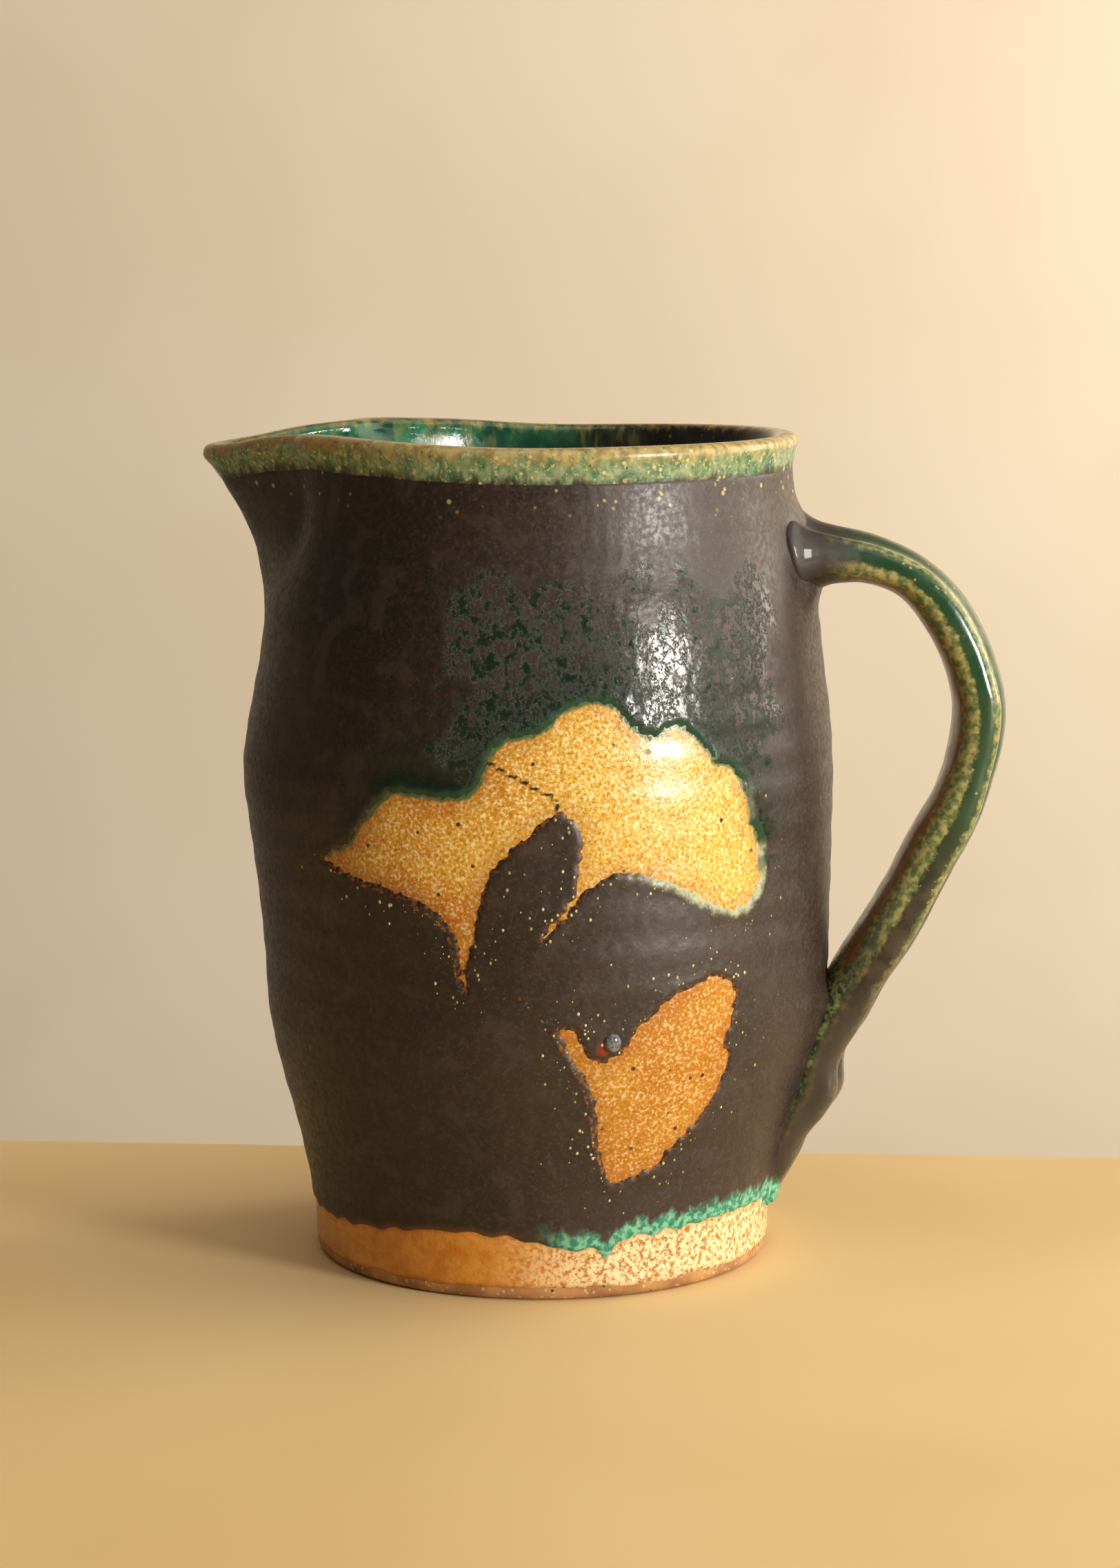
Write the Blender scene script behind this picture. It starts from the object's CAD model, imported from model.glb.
"""Looks of a hand-thrown stoneware pitcher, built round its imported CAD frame.

The pot's wall, lip, floor and handle are measured from the frame's own solids.  Round them this
file makes what the potter's hands and the kiln add: throwing rings, a pinched spout, a strap with
pulled ridges, and four glazes that run, pool and break at their edges.
"""
from __future__ import annotations

import logging
import math
from dataclasses import dataclass, field
from enum import Enum

import bpy
import numpy as np
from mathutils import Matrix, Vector
from mathutils.bvhtree import BVHTree

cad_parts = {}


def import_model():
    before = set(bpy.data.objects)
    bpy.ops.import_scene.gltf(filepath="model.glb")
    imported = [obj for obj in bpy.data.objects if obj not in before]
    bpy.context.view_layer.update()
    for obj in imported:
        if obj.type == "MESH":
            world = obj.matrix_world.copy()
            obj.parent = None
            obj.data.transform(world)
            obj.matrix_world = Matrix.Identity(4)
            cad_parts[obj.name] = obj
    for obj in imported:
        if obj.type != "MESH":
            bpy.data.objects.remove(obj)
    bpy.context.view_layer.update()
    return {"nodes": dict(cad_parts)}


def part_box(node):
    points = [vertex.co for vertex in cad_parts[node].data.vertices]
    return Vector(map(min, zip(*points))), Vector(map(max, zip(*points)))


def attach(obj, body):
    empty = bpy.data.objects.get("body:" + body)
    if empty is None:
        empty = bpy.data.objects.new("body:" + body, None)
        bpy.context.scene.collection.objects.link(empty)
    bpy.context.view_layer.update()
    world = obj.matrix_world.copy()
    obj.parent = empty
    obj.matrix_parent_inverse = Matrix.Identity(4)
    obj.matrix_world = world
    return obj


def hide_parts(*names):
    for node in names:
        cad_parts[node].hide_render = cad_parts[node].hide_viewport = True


LOG = logging.getLogger("pitcher")
MM = 0.001  # metres in a millimetre; lengths below are in millimetres
TURN = 2.0 * math.pi
Array = np.ndarray
Socket = bpy.types.NodeSocket


class Coat(Enum):
    """The glazes of the pot, by the node that each one stands for."""

    AMBER = "amber_glaze"
    DARK = "dark_glaze"
    RIM = "rim_glaze"
    LINER = "liner_glaze"
    HANDLE = "handle_glaze"
    BEAD = "glaze_bead"

    @property
    def piece(self) -> str:
        """Name of the visual piece that stands in for the node."""
        return f"{self.value}_fired"


# ------------------------------------------------------------------------------ small tools


def smooth(low: float, high: float, value: Array) -> Array:
    """Eased step from 0 to 1.

    Args:
        low: where the step starts.
        high: where it ends.
        value: the values to ease.

    Returns:
        The eased values, as an array of the same shape.
    """
    t = np.clip((value - low) / (high - low), 0.0, 1.0)
    return t * t * (3.0 - 2.0 * t)


def bump(centre: float, width: float, value: Array) -> Array:
    """Soft hump of height 1 round a centre.

    Args:
        centre: the middle of the hump.
        width: distance at which it has fallen to about a third.
        value: where to evaluate it.

    Returns:
        The hump's height at each value.
    """
    return np.exp(-(((value - centre) / width) ** 2))


def ripple(along: Array, up: Array, wavelength: float, seed: int, waves: int = 9) -> Array:
    """Repeatable soft noise, a sum of plane waves.

    Args:
        along: first coordinate.
        up: second coordinate.
        wavelength: typical distance between crests, in the same unit.
        seed: number that fixes the waves.
        waves: how many waves are summed.

    Returns:
        Noise of about -1 to 1 at each place.
    """
    draw = np.random.default_rng(seed)
    total = np.zeros(np.broadcast(along, up).shape)
    for _ in range(waves):
        heading = draw.uniform(0.0, TURN)
        rate = TURN / (wavelength * draw.uniform(0.7, 1.5))
        phase = draw.uniform(0.0, TURN)
        total += np.sin(rate * (math.cos(heading) * along + math.sin(heading) * up) + phase)
    return total / math.sqrt(waves)


def crowded(low: float, high: float, zones: list[tuple[float, float, float]],
            coarse: float) -> Array:
    """Steps from low to high that are fine inside some zones.

    Args:
        low: first value.
        high: last value.
        zones: (start, end, step) of each fine zone.
        coarse: step outside the zones.

    Returns:
        Rising values from low to high.
    """
    values = [low]
    while values[-1] < high:
        here = values[-1]
        step = coarse
        for start, end, fine in zones:
            if start - coarse <= here <= end:
                step = min(step, fine)
        values.append(here + step)
    spaced = np.array(values)
    return low + (spaced - low) * (high - low) / (spaced[-1] - low)


def curve_through(points: list[tuple[float, float]], per_span: int = 8) -> Array:
    """Smooth open run through some points.

    Args:
        points: the points to pass through.
        per_span: how many points are made between each two.

    Returns:
        Points of a Catmull-Rom curve, without the last one.
    """
    p = np.array(points, float)
    p = np.vstack([2 * p[0] - p[1], p, 2 * p[-1] - p[-2]])
    t = np.linspace(0.0, 1.0, per_span, endpoint=False)[:, None]
    spans = []
    for a, b, c, d in zip(p, p[1:], p[2:], p[3:]):
        spans.append(0.5 * (2 * b + (c - a) * t + (2 * a - 5 * b + 4 * c - d) * t**2
                            + (3 * b - a - 3 * c + d) * t**3))
    return np.vstack(spans)


def mesh_object(name: str, points: Array, faces: list[tuple[int, ...]],
                values: dict[str, Array] | None = None) -> bpy.types.Object:
    """Makes a smooth-shaded mesh object at the origin.

    Args:
        name: the piece's name.
        points: corner places in millimetres, one row each.
        faces: corner numbers of each face, seen from outside.
        values: named numbers for each corner, which the materials read.

    Returns:
        The new object, linked to the scene.
    """
    mesh = bpy.data.meshes.new(name)
    mesh.from_pydata((points * MM).tolist(), [], faces)
    for key, numbers in (values or {}).items():
        mesh.attributes.new(key, "FLOAT", "POINT").data.foreach_set("value", numbers.ravel())
    mesh.polygons.foreach_set("use_smooth", [True] * len(mesh.polygons))
    mesh.update()
    piece = bpy.data.objects.new(name, mesh)
    bpy.context.scene.collection.objects.link(piece)
    return piece


def grid_faces(rows: int, columns: int, first: int = 0,
               inward: bool = False) -> list[tuple[int, ...]]:
    """Faces of a grid that closes round the pot.

    Args:
        rows: rings of points.
        columns: points in each ring.
        first: number of the grid's first point.
        inward: whether the faces look towards the axis.

    Returns:
        The four corner numbers of each face.
    """
    faces = []
    for r in range(rows - 1):
        for c in range(columns):
            a, b = first + r * columns + c, first + r * columns + (c + 1) % columns
            face = (a, b, b + columns, a + columns)
            faces.append(face[::-1] if inward else face)
    return faces


# ------------------------------------------------------------------------------ the wall


@dataclass
class PotSurvey:
    """The thrown wall as the frame has it, read along rays and kept as smooth tables."""

    node: bpy.types.Object
    spokes: int = 180
    rings: int = 96
    harmonics: int = 30
    foot_gap: float = 2.6  # the outside is read from here up, past the foot's bevel
    lip_gap: float = 0.4  # both faces are read up to here below the lip
    floor_gap: float = 0.3  # the inside is read from here above the floor
    angles: Array = field(init=False)
    lip: Array = field(init=False)
    outer: Array = field(init=False)
    inner: Array = field(init=False)
    height: float = field(init=False)
    floor: float = field(init=False)
    foot_radius: float = field(init=False)
    belly: float = field(init=False)

    def __post_init__(self) -> None:
        """Reads lip height, outer radius and inner radius all round the pot."""
        corners = np.array([tuple(v.co) for v in self.node.data.vertices]) / MM
        tree = BVHTree.FromPolygons([Vector(c) for c in corners],
                                    [tuple(p.vertices) for p in self.node.data.polygons])
        self.angles = np.linspace(0.0, TURN, self.spokes, endpoint=False)
        self.height = float(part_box("vessel")[1][2]) / MM
        self.lip = self.read_lip(corners)
        reach = 4.0 * self.height
        down = tree.ray_cast(Vector((0.0, 0.0, self.height)), Vector((0.0, 0.0, -1.0)))[0]
        self.floor = down.z
        base = self.floor + self.floor_gap
        shares = np.linspace(0.0, 1.0, self.rings)
        self.outer = np.zeros((self.rings, self.spokes))
        self.inner = np.zeros((self.rings, self.spokes))
        for j, angle in enumerate(self.angles):
            way = Vector((math.cos(angle), math.sin(angle), 0.0))
            for i, share in enumerate(shares):
                z = self.foot_gap + share * (self.lip[j] - self.foot_gap - self.lip_gap)
                hit = tree.ray_cast(way * reach + Vector((0, 0, z)), -way)[0]
                missed = hit is None or hit.dot(way) <= 0.0
                self.outer[i, j] = self.outer[i - 1, j] if missed else hit.xy.length
                z = base + share * (self.lip[j] - base - self.lip_gap)
                hit = tree.ray_cast(Vector((0.0, 0.0, z)), way)[0]
                self.inner[i, j] = self.inner[i - 1, j] if hit is None else hit.xy.length
        self.outer = self.low_pass(self.outer)
        self.inner = self.low_pass(self.inner)
        self.foot_radius = float(self.outer[0].mean())
        self.belly = float(self.outer[:, self.spokes // 4].max())

    def read_lip(self, corners: Array) -> Array:
        """Height of the lip in every direction.

        Args:
            corners: all corner places of the clay pot.

        Returns:
            One height for each spoke.
        """
        high = corners[corners[:, 2] > 0.9 * self.height]
        turn = np.mod(np.arctan2(high[:, 1], high[:, 0]), TURN)
        lip = np.zeros(self.spokes)
        for j, angle in enumerate(self.angles):
            gap = np.abs((turn - angle + math.pi) % TURN - math.pi)
            lip[j] = high[gap < math.radians(3.0), 2].max()
        return self.low_pass(lip[None, :], 12)[0]

    def low_pass(self, table: Array, keep: int = 0) -> Array:
        """Takes the facets out of a table that runs round the pot.

        Args:
            table: rows of values, one column for each spoke.
            keep: highest harmonic kept, or 0 for the usual number.

        Returns:
            The smoothed table.
        """
        spectrum = np.fft.rfft(table, axis=1)
        order = np.arange(spectrum.shape[1])
        spectrum *= 1.0 - smooth(0.7 * (keep or self.harmonics), keep or self.harmonics, order)
        return np.fft.irfft(spectrum, self.spokes, axis=1)

    def look_up(self, table: Array, share: Array, angle: Array) -> Array:
        """Reads a table between its rows and columns.

        Args:
            table: the table to read.
            share: 0 at its first row and 1 at its last.
            angle: direction round the pot, in radians.

        Returns:
            Smoothly interpolated values.
        """
        row = np.clip(share, 0.0, 1.0) * (table.shape[0] - 1)
        column = np.mod(angle, TURN) / TURN * self.spokes
        r0, c0 = np.floor(row).astype(int), np.floor(column).astype(int)
        total = 0.0
        for i, wr in zip((-1, 0, 1, 2), self.cubic(row - r0)):
            rr = np.clip(r0 + i, 0, table.shape[0] - 1)
            for j, wc in zip((-1, 0, 1, 2), self.cubic(column - c0)):
                total = total + wr * wc * table[rr, (c0 + j) % self.spokes]
        return total

    @staticmethod
    def cubic(t: Array) -> tuple[Array, ...]:
        """Catmull-Rom weights of the four neighbours at t between the middle two."""
        return (0.5 * (-t + 2 * t**2 - t**3), 0.5 * (2 - 5 * t**2 + 3 * t**3),
                0.5 * (t + 4 * t**2 - 3 * t**3), 0.5 * (t**3 - t**2))

    def lip_at(self, angle: Array) -> Array:
        """Clay lip height in a direction."""
        return self.look_up(self.lip[None, :], np.zeros(np.shape(angle)), angle)

    def outer_at(self, angle: Array, z: Array) -> Array:
        """Clay radius outside, at a direction and a height."""
        share = (z - self.foot_gap) / (self.lip_at(angle) - self.foot_gap - self.lip_gap)
        return self.look_up(self.outer, share, angle)

    def inner_at(self, angle: Array, z: Array) -> Array:
        """Clay radius inside, at a direction and a height."""
        base = self.floor + self.floor_gap
        share = (z - base) / (self.lip_at(angle) - base - self.lip_gap)
        return self.look_up(self.inner, share, angle)


@dataclass
class ThrownWall:
    """The wall with the marks of the wheel and of the potter's fingers."""

    survey: PotSurvey
    spout_angle: float = math.radians(175.0)
    ring_depth: float = 0.07  # throwing rings
    ring_pitch: float = 8.5
    sway: float = 1.3  # how far the belly leans off the axis
    amber: float = 0.30
    dark: float = 0.40

    def off_spout(self, angle: Array) -> Array:
        """Degrees from the middle of the spout, positive towards -Y."""
        return np.degrees((angle - self.spout_angle + math.pi) % TURN - math.pi)

    def lip_wave(self, angle: Array) -> Array:
        """How far the fired lip stands off the frame's lip."""
        off = self.off_spout(angle)
        wave = 0.25 * bump(40.0, 10.0, np.abs(off)) - 0.75 * bump(64.0, 20.0, off)
        return wave + 0.12 * np.sin(3.0 * angle + 1.0) - 0.25 * bump(150.0, 40.0, off)

    def relief(self, angle: Array, z: Array) -> Array:
        """What hands and wheel add to the outer radius."""
        fade = smooth(3.0, 22.0, z) * (1.0 - smooth(168.0, 184.0, z))
        spiral = z / self.ring_pitch + angle / TURN
        rings = self.ring_depth * (np.sin(TURN * spiral) + 0.5 * np.sin(TURN * 0.47 * spiral + 1.3))
        lean = self.sway * np.cos(angle) * bump(70.0, 22.0,
                                                z) - 0.7 * np.cos(angle) * bump(112.0, 16.0, z)
        dents = 0.17 * (ripple(60.0 * np.cos(angle), z, 46.0,
                               5) + ripple(60.0 * np.sin(angle), z, 40.0, 6))
        off = self.off_spout(angle)
        crease = -1.1 * bump(31.0, 5.0, np.abs(off)) * bump(176.0, 11.0, z)
        lobe = 0.7 * bump(43.0, 8.0, np.abs(off)) * bump(183.0, 12.0, z)
        return fade * (rings + dents) + lean + crease + lobe

    def clay(self, angle: Array, z: Array) -> Array:
        """Outer clay radius."""
        return self.survey.outer_at(angle, z) + self.relief(angle, z)

    def glazed(self, angle: Array, z: Array) -> Array:
        """Outer radius over both outside glazes."""
        return self.clay(angle, z) + self.amber + self.dark

    def hollow(self, angle: Array, z: Array) -> Array:
        """Inner clay radius, with the spiral that the fingers leave."""
        spiral = 0.25 * np.sin(TURN * (z / 11.0 - angle / TURN))
        return self.survey.inner_at(angle,
                                    z) + spiral * smooth(20.0, 40.0,
                                                         z) * (1.0 - smooth(160, 178, z))

    def lip_top(self, angle: Array) -> Array:
        """Height of the glazed lip."""
        return self.survey.lip_at(angle) + self.amber + self.dark + self.lip_wave(angle)

    @staticmethod
    def place(radius: Array, angle: Array, z: Array) -> Array:
        """Turns radius, direction and height into rows of x, y, z."""
        r, a, h = np.broadcast_arrays(radius, angle, z)
        return np.stack([r * np.cos(a), r * np.sin(a), h], -1).reshape(-1, 3)


# ------------------------------------------------------------------------------ leaf windows


@dataclass
class LeafWindow:
    """A leaf-shaped window in the dark glaze, where the paper or wax resist lay.

    Each run is a smooth edge between two corners.  A point is the distance round the belly
    from the -Y line, positive towards the handle, and the height.
    """

    runs: list[list[tuple[float, float]]]
    outline: Array = field(init=False)
    top_run: int = field(init=False)

    def __post_init__(self) -> None:
        """Makes the closed outline and counts the segments of its upper edge."""
        self.outline = np.vstack([curve_through(run) for run in self.runs])
        self.top_run = len(curve_through(self.runs[0]))

    def measure(self, along: Array, up: Array) -> tuple[Array, Array]:
        """Distance to the window's edge.

        Args:
            along: distances round the belly.
            up: heights.

        Returns:
            The distance, positive outside and negative inside, and how much the nearest edge
            faces upwards, from -1 to 1.  Only the first run's edge faces up.
        """
        a, b = self.outline, np.roll(self.outline, -1, 0)
        s, z = along.ravel(), up.ravel()
        best = np.full(s.shape, 1e9)
        rise = np.zeros(s.shape)
        inside = np.zeros(s.shape, bool)
        under = np.zeros(s.shape, bool)
        for k, ((ax, ay), (bx, by)) in enumerate(zip(a, b)):
            dx, dy = bx - ax, by - ay
            t = np.clip(((s - ax) * dx + (z - ay) * dy) / (dx * dx + dy * dy + 1e-9), 0.0, 1.0)
            gx, gy = s - ax - t * dx, z - ay - t * dy
            gap = np.hypot(gx, gy)
            nearer = gap < best
            best = np.where(nearer, gap, best)
            rise = np.where(nearer, gy / np.maximum(gap, 1e-6), rise)
            under = np.where(nearer, k >= self.top_run, under)
            crosses = ((ay > z) != (by > z)) & (s < ax + (z - ay) * dx / (dy if dy else 1e-9))
            inside ^= crosses
        signed = np.where(inside, -best, best)
        rise = np.where(under, -1.0, np.where(inside, -rise, rise))
        return signed.reshape(along.shape), rise.reshape(along.shape)


UPPER_LEAF = LeafWindow([
    [(-48.6, 99.2), (-46.0, 100.9), (-43.6, 101.8), (-40.4, 103.4), (-38.0, 106.7), (-34.2, 111.0),
     (-31.0, 114.2), (-27.7, 115.6), (-23.6, 115.2), (-16.4, 114.8), (-11.5, 115.6), (-8.9, 118.1),
     (-7.4, 121.5), (-5.6, 125.6), (-2.3, 127.8), (1.3, 128.4), (5.2, 129.8), (8.5, 133.0),
     (13.2, 135.2), (17.0, 135.7), (21.8, 134.2), (22.8, 132.2), (27.2, 128.7), (30.2, 127.9),
     (35.3, 130.0), (38.9, 128.4), (44.1, 123.4), (45.2, 121.3), (50.2, 119.8), (53.2, 115.3),
     (55.3, 108.2), (58.2, 102.5), (58.0, 99.8), (58.8, 95.0), (56.7, 90.8), (54.0, 89.2)],
    [(54.0, 89.2), (50.0, 89.0), (46.0, 90.1), (37.4, 94.5), (30.0, 97.4), (23.0, 98.9),
     (19.6, 98.5),
     (15.0, 95.7), (11.9, 93.4), (9.4, 89.6), (5.2, 84.9)],
    [(5.2, 84.9), (9.3, 89.2), (12.2, 93.4), (12.9, 96.6), (13.2, 100.4), (13.8, 105.5),
     (13.2, 109.0),
     (10.4, 111.9), (8.3, 112.6), (6.3, 111.5), (1.3, 107.1), (-4.0, 102.4), (-7.6, 97.0),
     (-9.4, 91.0), (-10.6, 84.3), (-12.4, 78.9), (-12.5, 72.9)],
    [(-12.5, 72.9), (-13.5, 77.5), (-14.0, 84.0), (-18.4, 89.3), (-24.0, 92.2), (-31.5, 94.6),
     (-39.7, 96.2), (-48.6, 99.2)],
])

LOWER_LEAF = LeafWindow([
    [(8.9, 64.2), (10.0, 64.3), (11.6, 63.7), (13.0, 61.6), (13.9, 59.5), (15.1, 57.9),
     (16.7, 56.7),
     (18.7, 56.0), (20.4, 56.4), (22.2, 57.4), (23.8,
                                                58.7), (25.2, 60.5), (26.4, 62.6), (28.0, 64.7),
     (30.2, 65.8), (32.0, 67.4), (33.4, 69.2), (37.3,
                                                71.2), (41.2, 72.3), (44.7, 73.8), (47.5, 73.4)],
    [(47.5, 73.4), (51.0, 71.4), (51.9, 69.0), (51.8, 65.0), (50.8, 61.2), (49.9, 58.3),
     (51.9, 55.0),
     (51.2, 50.2), (49.2, 45.6), (46.1, 41.4), (41.4,
                                                37.0), (37.0, 32.8), (35.8, 30.9), (29.4, 28.8),
     (25.0, 27.4)],
    [(25.0, 27.4), (22.9, 28.1), (21.2, 31.8), (19.3, 38.3), (18.1, 44.8), (17.6, 48.0),
     (15.1, 53.0),
     (12.4, 57.0), (10.3, 60.8), (8.9, 64.2)],
])

SCRATCH = curve_through([(-7.2, 123.2), (-3.3, 120.9), (0.0, 119.3), (3.9, 117.0), (6.4, 116.2),
                         (8.0, 114.2), (7.6, 112.2)], 5)
STREAK = curve_through([(-0.6, 71.8), (1.2, 70.4), (2.7, 68.3), (3.8, 67.0), (5.2, 65.6)], 5)
VEIN_LOW = curve_through([(7.2, 63.6), (9.9, 58.7), (12.2, 54.8), (14.5, 50.7), (15.6, 46.7),
                          (17.0, 41.7), (17.7, 37.5), (19.6, 32.8), (21.0, 28.6)], 5)
VEIN_HIGH = curve_through([(-47.0, 97.4), (-38.0, 94.6), (-30.0, 92.8), (-22.5, 89.8),
                           (-17.0, 85.8),
                           (-15.0, 79.0), (-13.8, 71.0)], 5)
PIT = (18.9, 59.6)  # a bubble that burst and healed red, in the notch of the lower window


def distance_to(run: Array, along: Array, up: Array) -> Array:
    """Distance from places on the unrolled belly to an open run of points."""
    best = np.full(along.shape, 1e9)
    for (ax, ay), (bx, by) in zip(run, run[1:]):
        dx, dy = bx - ax, by - ay
        t = np.clip(((along - ax) * dx + (up - ay) * dy) / (dx * dx + dy * dy), 0.0, 1.0)
        best = np.minimum(best, np.hypot(along - ax - t * dx, up - ay - t * dy))
    return best


# ------------------------------------------------------------------------------ coats


@dataclass
class GlazeCoats:
    """The glazes on the wall, each a closed skin with its own thickness and edges."""

    wall: ThrownWall
    band: float = 9.5  # the rim dip's depth below the lip
    bare: float = 3.0  # clay left bare above the shelf
    edge_round: float = 1.1
    buried: float = 0.8  # how deep each coat's hidden face lies in the clay
    lap: float = 3.0  # how far the dark coat runs up under the rim dip
    leaf_fine: float = 0.72  # grid step over the windows
    crown: float = 2.3  # height of the rounded part of the lip
    inside: float = 0.5  # thickness of the glaze inside

    def unroll(self, angle: Array) -> Array:
        """Distance round the belly from the -Y line."""
        turn = (angle + 0.5 * math.pi + math.pi) % TURN - math.pi
        return turn * (self.wall.survey.belly + self.wall.amber)

    def foot_line(self, angle: Array) -> Array:
        """Height at which the dark glaze ends above the foot."""
        s = self.unroll(angle)
        line = 12.6 + 1.8 * bump(-22.0, 24.0,
                                 s) - 2.4 * bump(14.0, 11.0, s) + 3.0 * bump(68.0, 34.0, s)
        line = line - 3.2 * bump(23.2, 2.3, s)
        return line + 0.8 * np.sin(3 * angle) + 0.35 * ripple(s, s * 0.0, 9.0, 3, 5)

    def edge(self, angle: Array, z: Array) -> tuple[Array, Array]:
        """Ragged distance to the nearest leaf window, and how much that edge faces up."""
        s = self.unroll(angle)
        z = np.broadcast_to(z, s.shape)
        upper, rise_upper = UPPER_LEAF.measure(s, z)
        lower, rise_lower = LOWER_LEAF.measure(s, z)
        edge = np.where(upper < lower, upper, lower)
        rise = np.where(upper < lower, rise_upper, np.minimum(rise_lower, -0.2))
        ragged = 0.30 * ripple(s, z, 3.4, 21) + 0.16 * ripple(s, z, 1.7, 22)
        return edge + ragged, rise

    def values(self, angle: Array, z: Array) -> dict[str, Array]:
        """Numbers that the glazes' materials read at each corner."""
        edge, rise = self.edge(angle, z)
        s = self.unroll(angle)
        lines = np.minimum(distance_to(VEIN_LOW, s, z), distance_to(VEIN_HIGH, s, z))
        return {
            "edge_mm": edge,
            "rise": rise,
            "vein_mm": np.minimum(lines, distance_to(STREAK, s, z)),
            "scratch_mm": distance_to(SCRATCH, s, z),
            "foot_mm": z - self.foot_line(angle),
            "rim_mm": self.wall.lip_top(angle) - z,
            "around_mm": s * smooth(1.0, 0.6, np.abs(s) / (math.pi * self.wall.survey.belly)),
            "front": -np.sin(angle),
            "pit_mm": np.hypot(s - PIT[0], z - PIT[1]),
        }

    def columns(self, fine: float) -> Array:
        """Directions round the pot, fine where the windows are."""
        centre, half = math.radians(-86.0), math.radians(50.0)
        r = self.wall.survey.belly
        steps = crowded(0.0, TURN, [(math.pi - half, math.pi + half, fine / r)], 2.3 / r)
        return steps[:-1] + centre - math.pi

    def skin(self, name: str, outer: tuple[Array, Array, Array], under: tuple[Array, Array, Array],
             values: dict[str, Array]) -> bpy.types.Object:
        """Closed coat between a visible face and a hidden one.

        Args:
            name: the piece's name.
            outer: radius, direction and height of the visible face, as full grids.
            under: the same for the hidden face, with fewer rings but the same columns.
            values: numbers at the visible face's corners.

        Returns:
            The coat as one closed mesh.
        """
        rows, columns = outer[0].shape
        rows_under = under[0].shape[0]
        points = np.vstack([self.wall.place(*outer), self.wall.place(*under)])
        start = rows * columns
        faces = grid_faces(rows, columns) + grid_faces(rows_under, columns, start, True)
        for c in range(columns):
            d = (c + 1) % columns
            top, low = (rows - 1) * columns, start + (rows_under - 1) * columns
            faces.append((start + c, start + d, d, c))
            faces.append((top + c, top + d, low + d, low + c))
        full = {}
        for key, numbers in values.items():
            pick = np.linspace(0, rows - 1, rows_under).round().astype(int)
            full[key] = np.vstack([numbers, numbers[pick]])
        return mesh_object(name, points, faces, full)

    def seam(self, angle: Array) -> Array:
        """Height of the hidden seam between the wall's coats and the rim's."""
        return self.wall.lip_top(angle) - self.band

    def grid(self, angles: Array, shares: Array, low: Array, high: Array) -> tuple[Array, Array]:
        """Directions and heights of a grid between two wavy levels."""
        z = low[None, :] + shares[:, None] * (high - low)[None, :]
        return np.broadcast_to(angles, z.shape), z

    def amber(self) -> bpy.types.Object:
        """The amber base coat, seen in the windows and round the foot."""
        angles = self.columns(1.15)
        low = np.full(angles.shape,
                      self.bare) + 0.25 * ripple(angles * 52.0, angles * 0.0, 12.0, 8, 5)
        high = self.seam(angles) - 1.0
        shares = crowded(0.0, 1.0, [(0.0, 0.06, 0.006), (0.12, 0.76, 0.0075)], 0.02)
        angle, z = self.grid(angles, shares, low, high)
        grain = 0.035 * ripple(angle * 68.0, z, 2.4, 31)
        radius = self.wall.clay(angle, z) + self.wall.amber + grain
        radius -= (self.wall.amber - 0.02) * (1.0 - smooth(0.0, 1.4, z - low))
        under_angle, under_z = self.grid(angles, np.linspace(0, 1, 34), low, high)
        under = self.wall.clay(under_angle, under_z) - self.buried
        return self.skin(Coat.AMBER.piece, (radius, angle, z), (under, under_angle, under_z),
                         self.values(angle, z))

    def dark(self) -> bpy.types.Object:
        """The dark coat, thick at its edges and gone inside the windows and at the foot."""
        angles = self.columns(self.leaf_fine)
        low = self.foot_line(angles) - 1.5
        high = self.seam(angles) + self.lap
        shares = crowded(0.0, 1.0, [(0.0, 0.03, 0.0035), (0.09, 0.75, 0.0046)], 0.013)
        angle, z = self.grid(angles, shares, low, high)
        values = self.values(angle, z)
        edge = values["edge_mm"]
        cover = smooth(-0.25, self.edge_round,
                       edge) * smooth(0.0, self.edge_round, values["foot_mm"])
        lump = 0.14 * bump(1.5, 1.1, edge) + 0.05 * bump(1.6, 1.2, values["foot_mm"])
        peel = 0.03 * ripple(angle * 68.0, z, 3.1, 41)
        film = self.wall.dark + lump + peel - 0.30 * smooth(-self.lap, 0.0, z - high)
        dip = -0.22  # where the coat is gone, its face lies this far under the amber's
        radius = self.wall.clay(angle, z) + self.wall.amber + dip + (film - dip) * cover
        radius = radius + self.root_fillet(angle, z)
        under_angle, under_z = self.grid(angles, np.linspace(0, 1, 40), low, high)
        under = self.wall.clay(under_angle, under_z) - self.buried
        return self.skin(Coat.DARK.piece, (radius, angle, z), (under, under_angle, under_z),
                         values)

    def root_fillet(self, angle: Array, z: Array) -> Array:
        """Soft ramp of clay and glaze up to the handle's two ends."""
        across = np.abs(((angle + math.pi) % TURN - math.pi)) * self.wall.survey.belly
        upper = np.hypot(np.maximum(across - 15.0, 0.0), np.maximum(np.abs(z - 163.0) - 8.0, 0.0))
        lower = np.hypot(np.maximum(across - 11.0, 0.0), np.maximum(np.abs(z - 36.0) - 25.0, 0.0))
        reach = 7.0  # how far round the strap's ends the ramp runs
        ramp = 0.0
        for gap in (upper, lower):
            ramp = ramp + np.maximum(reach - gap, 0.0) ** 2 / (3.2 * reach)
        return ramp

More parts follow.
